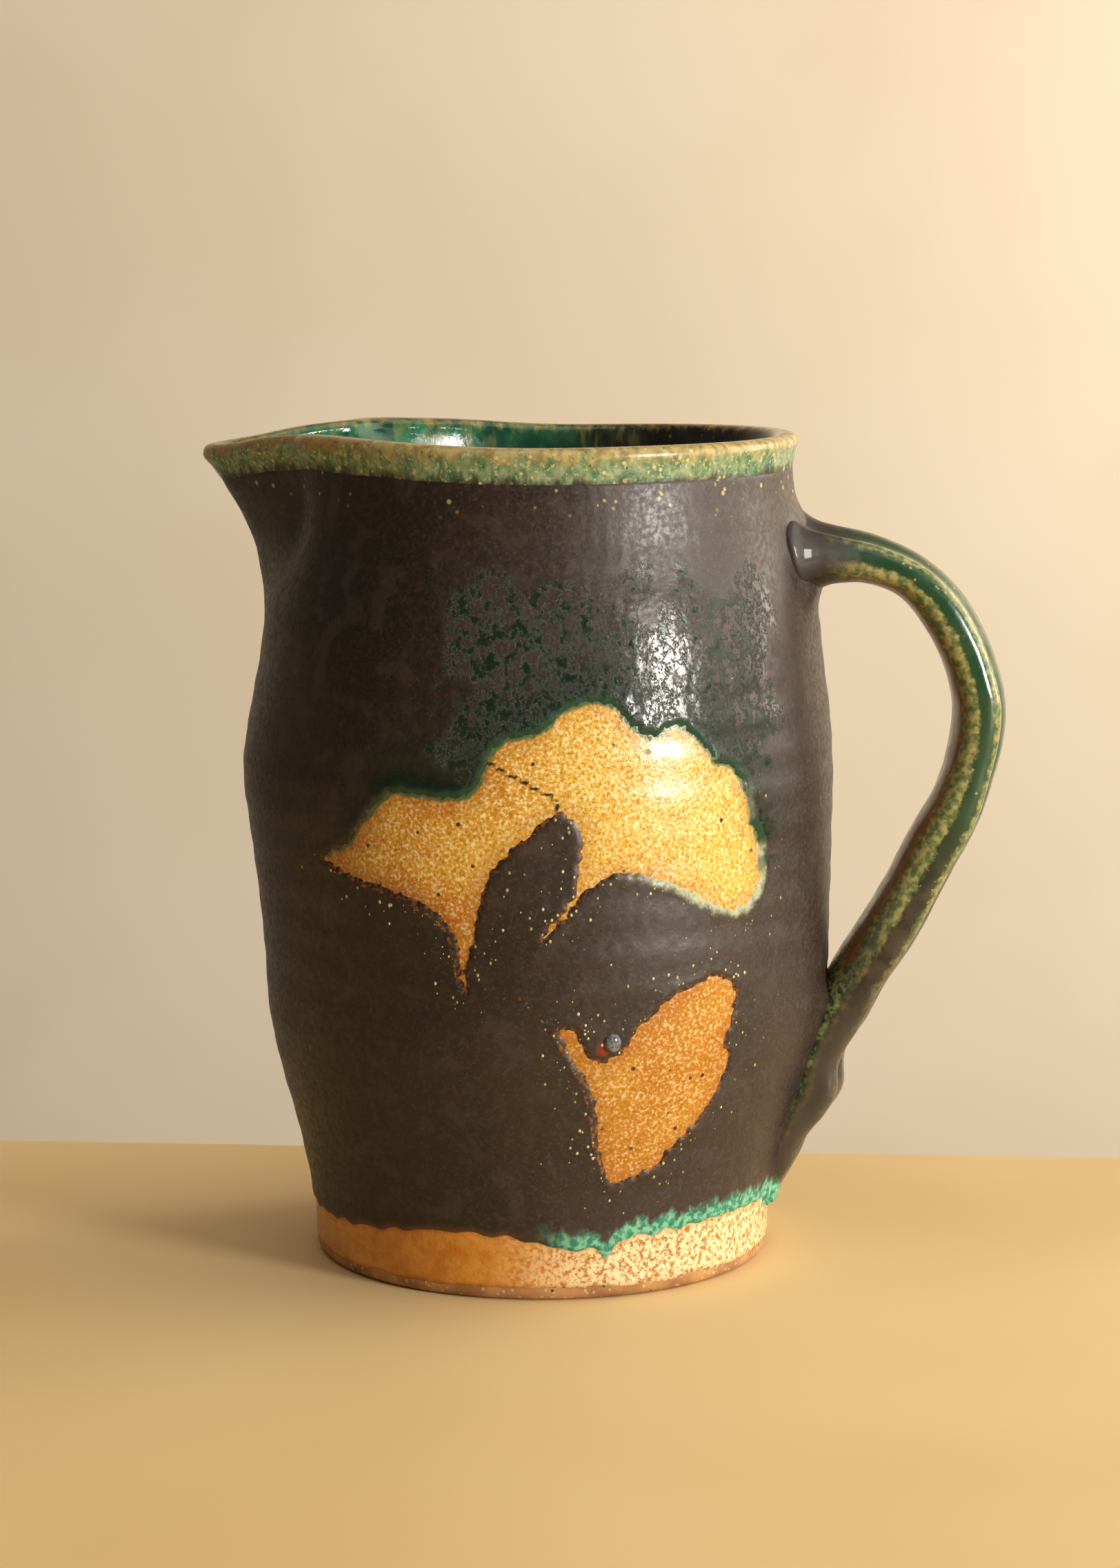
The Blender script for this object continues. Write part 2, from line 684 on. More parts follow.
    def rim(self) -> bpy.types.Object:
        """The pale dip over the lip, down both sides of the wall."""
        wall = self.wall
        steps = crowded(0.0, TURN, [(math.pi - 0.9, math.pi + 0.9, 1.0 / 75.0)], 1.8 / 58.0)
        angles = steps[:-1] + wall.spout_angle - math.pi
        top = wall.lip_top(angles)
        low = self.seam(angles)
        crown, liner = self.crown, self.inside
        rings: list[tuple[Array, Array]] = []
        outside, over = 18, 15  # rings up the outside and round the lip
        for share in np.linspace(0.0, 1.0, outside):
            z = low + share * (top - crown - low)
            rings.append((wall.glazed(angles, z) - 0.30 * (1.0 - smooth(0.0, self.lap, z - low)),
                          z))
        out = wall.glazed(angles, top - crown)
        back = wall.hollow(angles, top - crown) - liner
        for turn in np.linspace(0.0, math.pi, over)[1:-1]:
            middle, half = 0.5 * (out + back), 0.5 * (out - back)
            r = middle + half * math.copysign(abs(math.cos(turn)) ** 0.85, math.cos(turn))
            rings.append((r, top - crown + crown * math.sin(turn) ** 0.8))
        for share in np.linspace(1.0, 0.0, 16):
            z = low + share * (top - crown - low)
            rings.append((wall.hollow(angles, z) - liner, z))
        for share in np.linspace(0.0, 1.0, 5):
            z = low + share * (top - 2.0 * crown - low)
            rings.append((wall.hollow(angles, z) + 0.1, z))
        for share in np.linspace(1.0, 0.0, 5):
            z = low + share * (top - 2.0 * crown - low)
            rings.append((wall.clay(angles, z) - 0.1, z))
        radius = np.array([r for r, _ in rings])
        z = np.array([h for _, h in rings])
        angle = np.broadcast_to(angles, z.shape)
        rows, columns = z.shape
        faces = grid_faces(rows, columns)
        last = (rows - 1) * columns
        for c in range(columns):
            d = (c + 1) % columns
            faces.append((last + c, last + d, d, c))
        values = self.values(angle, z)
        within = np.zeros(z.shape)
        within[outside + over // 2:] = 1.0
        values["within"] = within
        return mesh_object(Coat.RIM.piece, wall.place(radius, angle, z), faces, values)

    def liner(self) -> bpy.types.Object:
        """The glaze inside the pot, from the rim dip's seam to the middle of the floor."""
        wall = self.wall
        angles = np.linspace(0.0, TURN, 168, endpoint=False) + wall.spout_angle
        floor = wall.survey.floor
        thick = self.inside
        angle, z = self.grid(angles, np.linspace(1.0, 0.0, 62) ** 1.25,
                             np.full(angles.shape, floor + 0.9), self.seam(angles))
        radius = wall.hollow(angle, z) - thick
        faces: list[tuple[int, ...]] = []
        blocks: list[Array] = []
        depths: list[Array] = []
        count = 0
        for sink, inward in ((0.0, False), (thick + 0.12, True)):
            pool = np.array([0.9, 0.75, 0.55, 0.35, 0.15])[:, None]
            pool_z = floor + thick + 0.35 * pool**6 + 0.12 * np.sin(14.0 * pool) * (sink == 0.0)
            rings = np.vstack([radius + sink, pool * radius[-1]])
            heights = np.vstack([z - np.linspace(0.0, 0.4, len(z))[:, None] * (sink > 0.0),
                                 np.broadcast_to(pool_z, (len(pool), angles.size)) - 1.5 * sink])
            blocks += [wall.place(rings, angles, heights),
                       np.array([[0.0, 0.0, floor + thick - 1.5 * sink]])]
            depths += [(wall.lip_top(angles) - heights).ravel(), np.array([180.0])]
            faces += grid_faces(len(rings), angles.size, count, inward)
            last, pole = count + (len(rings) - 1) * angles.size, count + rings.size
            for c in range(angles.size):
                fan = (last + c, last + (c + 1) % angles.size, pole)
                faces.append(fan[::-1] if inward else fan)
            count = pole + 1
        second = count // 2
        for c in range(angles.size):
            d = (c + 1) % angles.size
            faces.append((c, second + c, second + d, d))
        return mesh_object(Coat.LINER.piece, np.vstack(blocks), faces,
                           {"rim_mm": np.concatenate(depths)})

    def clay(self) -> bpy.types.Object:
        """The fired clay: the bare foot and underside, and the wall that the glazes cover."""
        wall = self.wall
        floor = wall.survey.floor
        angles = np.linspace(0.0, TURN, 200, endpoint=False)
        level = np.zeros(angles.shape)
        foot = wall.survey.foot_radius
        bevel = 2.3
        rings: list[tuple[Array, Array]] = []
        for share in (0.10, 0.3, 0.5, 0.7, 0.85, 0.94):  # underside, very slightly wheel-marked
            rings.append((level + share * foot, level))
        for turn in np.linspace(0.0, 0.5 * math.pi, 7):  # bevel wiped round with a wet finger
            rings.append((level + foot - bevel + bevel * math.sin(turn),
                          level + bevel * (1 - math.cos(turn))))
        top = wall.lip_top(angles) - 1.2
        for share in np.linspace(0.0, 1.0, 100)[1:]:
            z = 2.6 + share * (top - 1.8 - 2.6)
            rings.append((wall.clay(angles, z) - 0.02 - 0.10 * smooth(2.8, 4.0, z), z))
        rings.append((0.5 * (wall.clay(angles, top) + wall.hollow(angles, top)), top))
        for share in np.linspace(1.0, 0.0, 50):
            z = floor + 1.0 + share * (top - 2.4 - floor - 1.0)
            rings.append((wall.hollow(angles, z) + 0.25, z - 0.4 * (1.0 - share)))
        for share in (0.8, 0.5, 0.2):
            rings.append((share * wall.hollow(angles, level + floor + 1.0), level + floor - 0.3))
        radius = np.array([r for r, _ in rings])
        z = np.array([h for _, h in rings])
        points = wall.place(radius, np.broadcast_to(angles, z.shape), z)
        rows = len(rings)
        points = np.vstack([points, [[0.0, 0.0, 0.0], [0.0, 0.0, floor - 0.3]]])
        faces = grid_faces(rows, angles.size)
        low, high, last = rows * angles.size, rows * angles.size + 1, (rows - 1) * angles.size
        for c in range(angles.size):
            d = (c + 1) % angles.size
            faces += [(d, c, low), (last + c, last + d, high)]
        return mesh_object("clay_pot", points, faces)


# ------------------------------------------------------------------------------ node trees


def put(tree: bpy.types.NodeTree, kind: str, inputs: dict | None = None,
        **settings: object) -> bpy.types.Node:
    """Adds one node with its settings and links.

    Args:
        tree: the node tree.
        kind: the node's type name.
        inputs: socket name or number to a value, or to an output socket to link from.
        settings: properties of the node itself.

    Returns:
        The new node.
    """
    node = tree.nodes.new(kind)
    for key, value in settings.items():
        setattr(node, key, value)
    for key, value in (inputs or {}).items():
        socket = node.inputs[key]
        if isinstance(value, Socket):
            tree.links.new(value, socket)
        else:
            socket.default_value = value
    return node


def open_tree(name: str, result: str, inputs: dict[str, tuple[str, object]]
              ) -> tuple[bpy.types.NodeTree, bpy.types.bpy_prop_collection]:
    """Starts a Geometry Nodes tree with its sockets.

    Args:
        name: the tree's name.
        result: name of the geometry that comes out.
        inputs: kind and first value of each named input.

    Returns:
        The tree, and the outputs of its input node.
    """
    tree = bpy.data.node_groups.new(name, "GeometryNodeTree")
    for label, (kind, default) in inputs.items():
        socket = tree.interface.new_socket(name=label, in_out="INPUT",
                                           socket_type=f"NodeSocket{kind}")
        if default is not None:
            socket.default_value = default
    tree.interface.new_socket(name=result, in_out="OUTPUT", socket_type="NodeSocketGeometry")
    return tree, put(tree, "NodeGroupInput").outputs


def rgb(code: str) -> tuple[float, float, float, float]:
    """Turns an sRGB hex colour to the linear values that shaders use."""
    parts = [int(code[i:i + 2], 16) / 255.0 for i in (1, 3, 5)]
    linear = [p / 12.92 if p <= 0.04045 else ((p + 0.055) / 1.055) ** 2.4 for p in parts]
    return (linear[0], linear[1], linear[2], 1.0)


class Mixer:
    """Builds one material: places, patterns, masks and colour layers on a Principled shader."""

    def __init__(self, name: str) -> None:
        """Starts a material with Object coordinates in millimetres."""
        self.material = bpy.data.materials.new(name)
        self.material.use_nodes = True
        self.tree = self.material.node_tree
        self.tree.nodes.clear()
        place = put(self.tree, "ShaderNodeTexCoord").outputs["Object"]
        self.mm = put(self.tree, "ShaderNodeVectorMath", {0: place, 3: 1.0 / MM},
                      operation="SCALE").outputs[0]

    def value(self, name: str) -> Socket:
        """A number kept in the mesh under a name."""
        return put(self.tree, "ShaderNodeAttribute", attribute_name=name).outputs["Fac"]

    def math(self, operation: str, a: object, b: object = 0.0) -> Socket:
        """One sum on two values."""
        return put(self.tree, "ShaderNodeMath", {0: a, 1: b}, operation=operation).outputs[0]

    def times(self, a: object, b: object) -> Socket:
        """One value times another."""
        return self.math("MULTIPLY", a, b)

    def ragged(self, *args: object, **settings: object) -> Socket:
        """Cloudy pattern about 0, which makes an edge ragged; it takes what noise takes."""
        return self.math("SUBTRACT", self.noise(*args, **settings), 0.5)

    def noise(self, size: float, detail: float = 3.0,
              stretch: tuple[float, float, float] = (1, 1, 1),
              rough: float = 0.55, warp: float = 0.0, offset: float = 0.0) -> Socket:
        """Cloudy pattern.

        Args:
            size: distance between its clouds in millimetres.
            detail: how many finer octaves it has.
            stretch: how much longer it is along X, Y and Z.
            rough: strength of the finer octaves.
            warp: distortion.
            offset: moves the pattern, so that two of one size differ.

        Returns:
            Its value, about 0.5 on average.
        """
        scale = [1.0 / (size * s) for s in stretch]
        at = put(self.tree, "ShaderNodeMapping",
                 {"Vector": self.mm, "Scale": scale, "Location": [offset] * 3})
        return put(self.tree, "ShaderNodeTexNoise",
                   {"Vector": at.outputs[0], "Scale": 1.0, "Detail": detail,
                   "Roughness": rough, "Distortion": warp}).outputs["Fac"]

    def cells(self, size: float) -> Socket:
        """Distance to the nearest of some grains, size millimetres apart."""
        at = put(self.tree, "ShaderNodeMapping", {"Vector": self.mm, "Scale": [1.0 / size] * 3})
        return put(self.tree, "ShaderNodeTexVoronoi", {"Vector": at.outputs[0], "Scale": 1.0},
                   feature="F1").outputs["Distance"]

    def step(self, value: object, low: float, high: float, start: float = 0.0,
             end: float = 1.0) -> Socket:
        """Eased ramp of a value from start to end between low and high."""
        return put(self.tree, "ShaderNodeMapRange",
                   {"Value": value, "From Min": low, "From Max": high,
                   "To Min": start, "To Max": end}, interpolation_type="SMOOTHSTEP").outputs[0]

    def layer(self, mask: object, under: object, over: object) -> Socket:
        """Lays one colour over another where a mask says."""
        node = put(self.tree, "ShaderNodeMix", {0: mask, 6: under, 7: over}, data_type="RGBA")
        return node.outputs[2]

    def tint(self, under: Socket, mask: Socket, code: str, strength: float = 1.0) -> Socket:
        """Lays one flat colour over what lies under it, where a mask says."""
        held = mask if strength == 1.0 else self.times(mask, strength)
        return self.layer(held, under, rgb(code))

    def between(self, mask: object, low: object, high: object) -> Socket:
        """Number between two numbers, by a mask."""
        return put(self.tree, "ShaderNodeMix", {0: mask, 2: low, 3: high},
                   data_type="FLOAT").outputs[0]

    def bumps(self, parts: list[tuple[object, float]]) -> Socket:
        """Stacks relief patterns, each with its height in millimetres."""
        normal = None
        for height, depth in parts:
            inputs = {"Height": height, "Strength": 1.0, "Distance": depth * MM}
            if normal is not None:
                inputs["Normal"] = normal
            normal = put(self.tree, "ShaderNodeBump", inputs).outputs[0]
        return normal

    def finish(self, **sockets: object) -> bpy.types.Material:
        """Closes the material.

        Args:
            sockets: Principled inputs by name, with _ for a space.

        Returns:
            The finished material.
        """
        inputs = {key.replace("_", " "): value for key, value in sockets.items()}
        shader = put(self.tree, "ShaderNodeBsdfPrincipled", inputs)
        put(self.tree, "ShaderNodeOutputMaterial", {"Surface": shader.outputs[0]})
        return self.material


# ------------------------------------------------------------------------------ finishes

Layers = tuple[Socket, Socket, list[tuple[Socket, float]]]


@dataclass(frozen=True)
class DarkGlaze:
    """Tenmoku, an iron and manganese glaze, poured and fired until it is nearly satin.

    It looks brown-black, with a gunmetal bloom in clouds, and turns glossy green where it thins.
    """

    deep: str = "#120a06"
    cloud: str = "#24170f"
    bloom: str = "#3b322d"
    moss: str = "#0b1e14"
    emerald: str = "#0a4029"
    cream: str = "#a7b088"
    rust: str = "#8a4f1c"

    def body(self, m: Mixer, around: Socket) -> Socket:
        """Brown-black with gunmetal clouds, paler grain towards the handle and reddish iron."""
        colour = m.layer(m.step(m.noise(34.0, 4.0), 0.36, 0.66), rgb(self.deep), rgb(self.cloud))
        towards_light = m.step(around, -45.0, 42.0, 0.0, 0.4)
        colour = m.tint(colour, towards_light, "#3a302b")
        clouds = m.step(m.noise(7.0, 6.0, warp=0.4), 0.50, 0.64, 0.0, 0.55)
        colour = m.tint(colour, clouds, self.bloom)
        fine = m.step(m.noise(0.9, 4.0, rough=0.7), 0.50, 0.66, 0.0, 0.55)
        colour = m.tint(colour, m.times(fine, m.step(around, -60.0, 20.0, 0.35, 1.0)), "#4d433e")
        reddish = m.step(m.noise(1.6, 5.0, rough=0.7, offset=21.0), 0.50, 0.66, 0.0, 0.6)
        return m.tint(colour, reddish, "#3a1f10")

    def mottling(self, m: Mixer, colour: Socket, around: Socket,
                 depth: Socket) -> tuple[Socket, Socket, Socket]:
        """Curdled patch over the leaf, black-green between gunmetal flecks.

        Args:
            m: the material's mixer.
            colour: what lies under the patch.
            around: distance round the belly.
            depth: depth below the lip.

        Returns:
            The new colour, where the patch is, and the pattern of its flecks.
        """
        upper = m.times(m.step(depth, 14.0, 46.0), m.step(depth, 80.0, 62.0))
        sides = m.times(m.step(around, -30.0, -6.0), m.step(around, 74.0, 58.0))
        sides = m.times(sides, m.step(m.value("front"), 0.0, 0.3))
        patch = m.times(upper, sides)
        net = m.noise(2.4, 8.0, (1.0, 1.0, 1.3), rough=0.78)
        curds = m.step(net, 0.46, 0.54)
        mottled = m.layer(curds, rgb("#0e2416"), rgb("#352d28"))
        mottled = m.tint(mottled, m.step(net, 0.58, 0.66, 0.0, 0.7), "#574d47")
        cloudy = m.times(m.ragged(13.0, 5.0, offset=9.0), 2.4)
        patch_on = m.step(m.math("ADD", patch, cloudy), 0.30, 0.75)
        patch_on = m.times(patch_on, m.step(patch, 0.02, 0.2))
        return m.layer(patch_on, colour, mottled), patch_on, curds

    def leaf_edges(self, m: Mixer, colour: Socket, up: Socket, around: Socket,
                   depth: Socket) -> Socket:
        """Green halo over the leaf, dark and rusty hems under it, and the thin fired lines.

        Args:
            m: the material's mixer.
            colour: what lies under the edges.
            up: how much the nearest edge faces up.
            around: distance round the belly.
            depth: depth below the lip.

        Returns:
            The new colour.
        """
        edge = m.value("edge_mm")
        ragged = m.math("ADD", edge, m.times(m.ragged(2.6, 5.0, rough=0.7), 5.0))
        glow = m.times(up, m.step(ragged, 15.0, 2.0, 0.0, 0.95))
        colour = m.tint(colour, glow, self.moss)
        glow = m.times(up, m.step(ragged, 3.0, 0.0, 0.0, 0.9))
        colour = m.tint(colour, glow, self.emerald)
        down = m.math("SUBTRACT", 1.0, up)
        hem = m.times(down, m.step(edge, 1.6, 0.2))
        colour = m.tint(colour, hem, "#120d0a", 0.75)
        rust = m.times(hem, m.step(m.noise(0.9, 4.0, offset=4.0), 0.46, 0.60, 0.0, 0.8))
        colour = m.tint(colour, rust, self.rust)
        pale = m.times(m.step(around, 22.0, 36.0), m.step(depth, 112.0, 104.0))
        pale = m.times(pale, m.times(down, m.step(ragged, 2.6, 0.2)))
        colour = m.tint(colour, pale, self.cream, 0.85)
        vein = m.times(m.step(m.value("vein_mm"), 0.60, 0.15),
                       m.step(m.noise(1.2, 5.0), 0.48, 0.60, 0.0, 0.8))
        colour = m.tint(colour, vein, "#a86a28")
        return m.tint(colour, m.step(m.value("pit_mm"), 1.9, 1.2), "#7a1f08")

    def ends(self, m: Mixer, colour: Socket, around: Socket, depth: Socket) -> Socket:
        """Teal drips and a brown line at the foot, and pale blotches below the rim.

        Args:
            m: the material's mixer.
            colour: what lies under them.
            around: distance round the belly.
            depth: depth below the lip.

        Returns:
            The new colour.
        """
        foot = m.value("foot_mm")
        drips = m.math("ADD", foot, m.times(m.ragged(2.2, 4.0, (1, 1, 1.8)), 7.0))
        fringe = m.times(m.step(drips, 5.6, 2.6), m.step(around, 2.0, 16.0))
        teal = m.layer(m.step(m.noise(1.4, 4.0), 0.42, 0.60), rgb("#1d7a5d"), rgb("#74b898"))
        colour = m.layer(fringe, colour, teal)
        blotch = m.times(m.step(m.cells(2.6), 0.26, 0.14),
                         m.step(m.noise(5.0, 2.0, offset=7.0), 0.48, 0.55))
        below = m.times(m.step(depth, 17.0, 10.0), m.step(depth, 4.0, 6.0))
        colour = m.tint(colour, m.times(blotch, below), "#a99c5e")
        brown = m.times(m.step(foot, 2.4, 0.2), m.step(around, 6.0, -8.0))
        return m.tint(colour, brown, "#6b3d18", 0.8)

    def layers(self, m: Mixer) -> Layers:
        """Colour, roughness and relief of the dark glaze."""
        around, depth = m.value("around_mm"), m.value("rim_mm")
        colour, patch_on, curds = self.mottling(m, self.body(m, around), around, depth)
        up = m.times(m.step(m.value("rise"), -0.1, 0.45), m.step(around, -42.0, -26.0, 0.12, 1.0))
        colour = self.leaf_edges(m, colour, up, around, depth)
        colour = self.ends(m, colour, around, depth)
        shine = m.times(up, m.step(m.value("edge_mm"), 9.0, 2.0))
        shine = m.math("MAXIMUM", patch_on, shine)
        rough = m.math("SUBTRACT", m.step(m.noise(1.3, 5.0, rough=0.7), 0.35, 0.65, 0.36, 0.56),
                       m.times(shine, 0.26))
        curdled = m.times(curds, patch_on)
        relief = [(m.noise(9.0, 2.0), 0.10), (m.noise(1.0, 4.0), 0.05), (curdled, 0.05)]
        return colour, rough, relief


@dataclass(frozen=True)
class AmberGlaze:
    """Iron-amber ash glaze over grogged clay, fired glossy, with crystals and pale grains in it."""

    honey: str = "#c27510"
    gold: str = "#d6a136"
    straw: str = "#efdba6"
    burnt: str = "#984f0c"
    iron: str = "#3a2110"

    def layers(self, m: Mixer) -> Layers:
        """Colour, roughness and relief of the amber glaze."""
        edge, rise, around = m.value("edge_mm"), m.value("rise"), m.value("around_mm")
        depth = m.value("rim_mm")
        colour = m.layer(m.step(m.noise(16.0, 4.0), 0.36, 0.62), rgb(self.honey), rgb(self.gold))
        bright = m.times(m.step(around, -20.0, 14.0), m.step(depth, 112.0, 96.0))
        colour = m.tint(colour, bright, "#d8b450", 0.75)
        low = m.step(depth, 108.0, 118.0)
        colour = m.tint(colour, low, "#ab721c", 0.70)
        grains = m.noise(0.75, 2.5, rough=0.6)
        paler = m.times(m.step(grains, 0.50, 0.66), m.between(low, 0.95, 0.55))
        colour = m.tint(colour, paler, self.straw)
        colour = m.tint(colour, m.step(grains, 0.48, 0.34, 0.0, 0.65), "#8f5a10")
        shell = m.step(m.math("ADD", edge, m.times(m.ragged(3.0), 6.0)), -5.0, 0.0)
        left = m.step(around, 10.0, -34.0, 0.35, 0.55)
        colour = m.tint(colour, m.times(shell, left), self.burnt)
        iron = m.times(m.step(m.cells(4.2), 0.15, 0.09),
                       m.step(m.noise(9.0, 2.0, offset=3.0), 0.5, 0.56))
        colour = m.tint(colour, iron, self.iron)
        up = m.step(rise, 0.0, 0.5)
        line = m.times(up, m.step(edge, -0.9, -0.1))
        colour = m.tint(colour, line, "#1c5d3c", 0.85)
        scratch = m.times(m.step(m.value("scratch_mm"), 0.80, 0.35),
                          m.step(m.noise(1.0, 3.0), 0.36, 0.44))
        colour = m.tint(colour, scratch, "#241a12")
        foot = m.step(m.value("foot_mm"), 1.5, -1.0)
        right = m.step(around, -16.0, 26.0)
        foot_left = m.layer(m.step(m.noise(3.0, 5.0), 0.25, 0.75), rgb("#bf7014"), rgb("#d59136"))
        foot_right = m.layer(m.step(m.noise(1.1, 4.0, rough=0.65), 0.38, 0.56), rgb("#a86c2c"),
                             rgb("#ead6a6"))
        colour = m.layer(foot, colour, m.layer(right, foot_left, foot_right))
        rough = m.step(m.noise(3.0, 3.0), 0.3, 0.7, 0.20, 0.34)
        relief = [(m.noise(5.0, 2.0), 0.08), (grains, 0.10), (iron, -0.05)]
        return colour, rough, relief


@dataclass(frozen=True)
class LinerGlaze:
    """Copper-green glaze swilled round the inside, glossy, and brown where it is thin."""

    def layers(self, m: Mixer) -> Layers:
        """Colour, roughness and relief of the liner."""
        depth = m.value("rim_mm")
        x = put(m.tree, "ShaderNodeSeparateXYZ", {0: m.mm}).outputs[0]
        wobble = m.times(m.ragged(14.0, 3.0), 50.0)
        right = m.step(m.math("ADD", x, wobble), -6.0, 34.0)
        green = m.layer(m.step(m.noise(6.0, 4.0), 0.35, 0.65), rgb("#12402c"), rgb("#2c6a4a"))
        brown = m.layer(m.step(m.noise(8.0, 4.0), 0.4, 0.6), rgb("#1c130e"), rgb("#33271f"))
        colour = m.layer(right, green, brown)
        runs = m.times(m.step(m.noise(5.0, 3.0, (1, 1, 4.0)), 0.54, 0.64),
                       m.step(depth, 26.0, 4.0))
        colour = m.tint(colour, runs, "#7d7a45", 0.4)
        colour = m.tint(colour, m.step(depth, 24.0, 90.0, 0.0, 0.7), "#15120e")
        spots = m.times(m.step(m.cells(3.1), 0.20, 0.12), m.step(m.noise(12.0, 2.0), 0.45, 0.55))
        colour = m.tint(colour, spots, "#8f8a55", 0.5)
        rough = m.step(m.noise(4.0, 3.0), 0.3, 0.7, 0.16, 0.28)
        return colour, rough, [(m.noise(6.0, 2.0), 0.10), (m.noise(1.2, 3.0), 0.04)]


@dataclass(frozen=True)
class RimGlaze:
    """Rutile ash glaze the lip was dipped in: tan on the lip, green where it meets the dark."""

    tan: str = "#8c7440"
    sand: str = "#b9a468"
    leaf: str = "#3c6a4b"
    pale: str = "#8d9c76"

    def layers(self, m: Mixer) -> Layers:
        """Colour, roughness and relief of the rim, over the dark glaze and the liner."""
        dark, dark_rough, relief = DarkGlaze().layers(m)
        inner, inner_rough, _ = LinerGlaze().layers(m)
        within, depth, around = m.value("within"), m.value("rim_mm"), m.value("around_mm")
        base = m.layer(within, dark, inner)
        streaks = m.ragged(2.8, 5.0, (1.0, 1.0, 2.4), rough=0.62)
        run = m.math("ADD", m.math("ADD", depth, m.times(within, 2.6)), m.times(streaks, 10.0))
        outer = m.math("SUBTRACT", 1.0, within)
        green = m.layer(m.step(m.noise(1.9, 4.0, (1, 1, 1.6)), 0.32, 0.70), rgb(self.leaf),
                        rgb(self.pale))
        green = m.tint(green, m.step(m.noise(0.9, 3.0), 0.56, 0.64, 0.0, 0.7), "#c3bd86")
        colour = m.layer(m.times(outer, m.step(run, 8.8, 5.2)), base, green)
        tan = m.layer(m.step(m.noise(2.2, 4.0, (1, 1, 1.8)), 0.36, 0.62), rgb(self.tan),
                      rgb(self.sand))
        tan = m.tint(tan, m.step(around, -32.0, -66.0, 0.0, 0.65), "#9c6a38")
        colour = m.layer(m.step(run, 4.4, 0.4, 0.0, 0.9), colour, tan)
        specks = m.times(m.step(m.cells(2.3), 0.26, 0.14), m.step(run, 12.0, 7.0))
        specks = m.times(m.times(specks, outer), m.step(m.noise(4.0, 2.0, offset=7.0), 0.46, 0.54))
        colour = m.tint(colour, specks, "#c8b878")
        iron = m.times(m.step(m.cells(2.9), 0.10, 0.05), m.step(run, 9.0, 6.0))
        colour = m.tint(colour, iron, "#33291a")
        lit = m.step(run, 8.0, 4.6)
        rough = m.math("SUBTRACT", m.between(within, dark_rough, inner_rough), m.times(lit, 0.16))
        return colour, rough, relief[:2]


@dataclass(frozen=True)
class StrapGlaze:
    """The dark glaze on a pulled strap: olive on the ridges, and pooled green between them."""

    def layers(self, m: Mixer) -> Layers:
        """Colour, roughness and relief of the handle's glaze."""
        across, along, face = m.value("across"), m.value("along"), m.value("face")
        colour = m.layer(m.step(m.noise(7.0, 5.0), 0.40, 0.62), rgb("#1d1511"), rgb("#3d322c"))
        colour = m.tint(colour, m.step(along, 0.66, 0.82, 0.0, 0.75), "#463c38")
        side = m.math("ABSOLUTE", across)
        torn = m.ragged(2.4, 5.0, rough=0.7)
        level = m.math("ADD", face, m.times(torn, 0.7))
        flank = m.step(side, 0.62, 0.80)
        tail = m.step(along, 0.74, 0.54)
        pool = m.times(m.step(level, -0.20, 0.10), m.step(level, 0.80, 0.55))
        hollow = m.times(m.step(side, 0.80, 0.55), m.step(face, -0.1, 0.3))
        pool = m.math("MAXIMUM", m.times(pool, flank), hollow)
        fade = m.step(along, 0.62, 0.40)
        colour = m.tint(colour, m.times(pool, m.between(fade, 0.05, 0.92)), "#1b452a")
        olive = m.layer(m.step(m.noise(1.7, 4.0), 0.38, 0.64), rgb("#5c7345"), rgb("#b3aa6c"))
        outer = m.times(m.step(level, 0.46, 0.66), m.step(side, 0.40, 0.60))
        inner = m.times(m.step(level, 0.02, -0.18), m.step(level, -0.86, -0.70))
        inner = m.times(inner, m.step(side, 0.55, 0.75))
        ridges = m.math("MAXIMUM", m.times(outer, 0.8), inner)
        colour = m.layer(m.times(ridges, m.between(tail, 0.12, 0.9)), colour, olive)
        burnt = m.times(m.step(level, -0.60, -0.74), m.step(level, -1.05, -0.86))
        colour = m.tint(colour, burnt, "#8a5a26", 0.8)
        joint = m.times(m.step(level, -0.25, -0.50), m.step(along, 0.66, 0.74))
        joint = m.times(joint, m.step(along, 0.94, 0.84))
        teal = m.layer(m.step(m.noise(1.5, 4.0), 0.45, 0.58), rgb("#14573f"), rgb("#9aa566"))
        colour = m.layer(m.times(joint, 0.9), colour, teal)
        specks = m.times(m.step(m.cells(2.1), 0.20, 0.10), m.step(m.noise(6.0, 2.0), 0.50, 0.58))
        colour = m.tint(colour, m.times(specks, tail), "#a99c60", 0.8)
        root = m.step(m.math("ADD", along, m.times(torn, 0.08)), 0.13, 0.05)
        colour = m.tint(colour, root, "#1e1611")
        rough = m.math("ADD", m.step(m.noise(4.0, 3.0), 0.3, 0.7, 0.16, 0.30), m.times(root, 0.36))
        return colour, rough, [(m.noise(5.0, 3.0), 0.10), (m.noise(1.1, 3.0), 0.03)]


@dataclass(frozen=True)
class FiredClay:
    """Grogged stoneware, turned and sponged, fired to a warm matt buff with rust spots."""

    def layers(self, m: Mixer) -> Layers:
        """Colour, roughness and relief of the bare clay."""
        colour = m.layer(m.step(m.noise(12.0, 5.0), 0.35, 0.65), rgb("#8f6236"), rgb("#b98a55"))
        grog = m.step(m.cells(1.6), 0.30, 0.15)
        colour = m.tint(colour, grog, "#d6b98a", 0.6)
        iron = m.step(m.cells(3.7), 0.12, 0.06)
        colour = m.tint(colour, iron, "#3d2413")
        return colour, m.step(m.noise(2.0), 0.3, 0.7, 0.72,
                              0.9), [(m.noise(0.9, 4.0), 0.08), (grog, 0.04)]


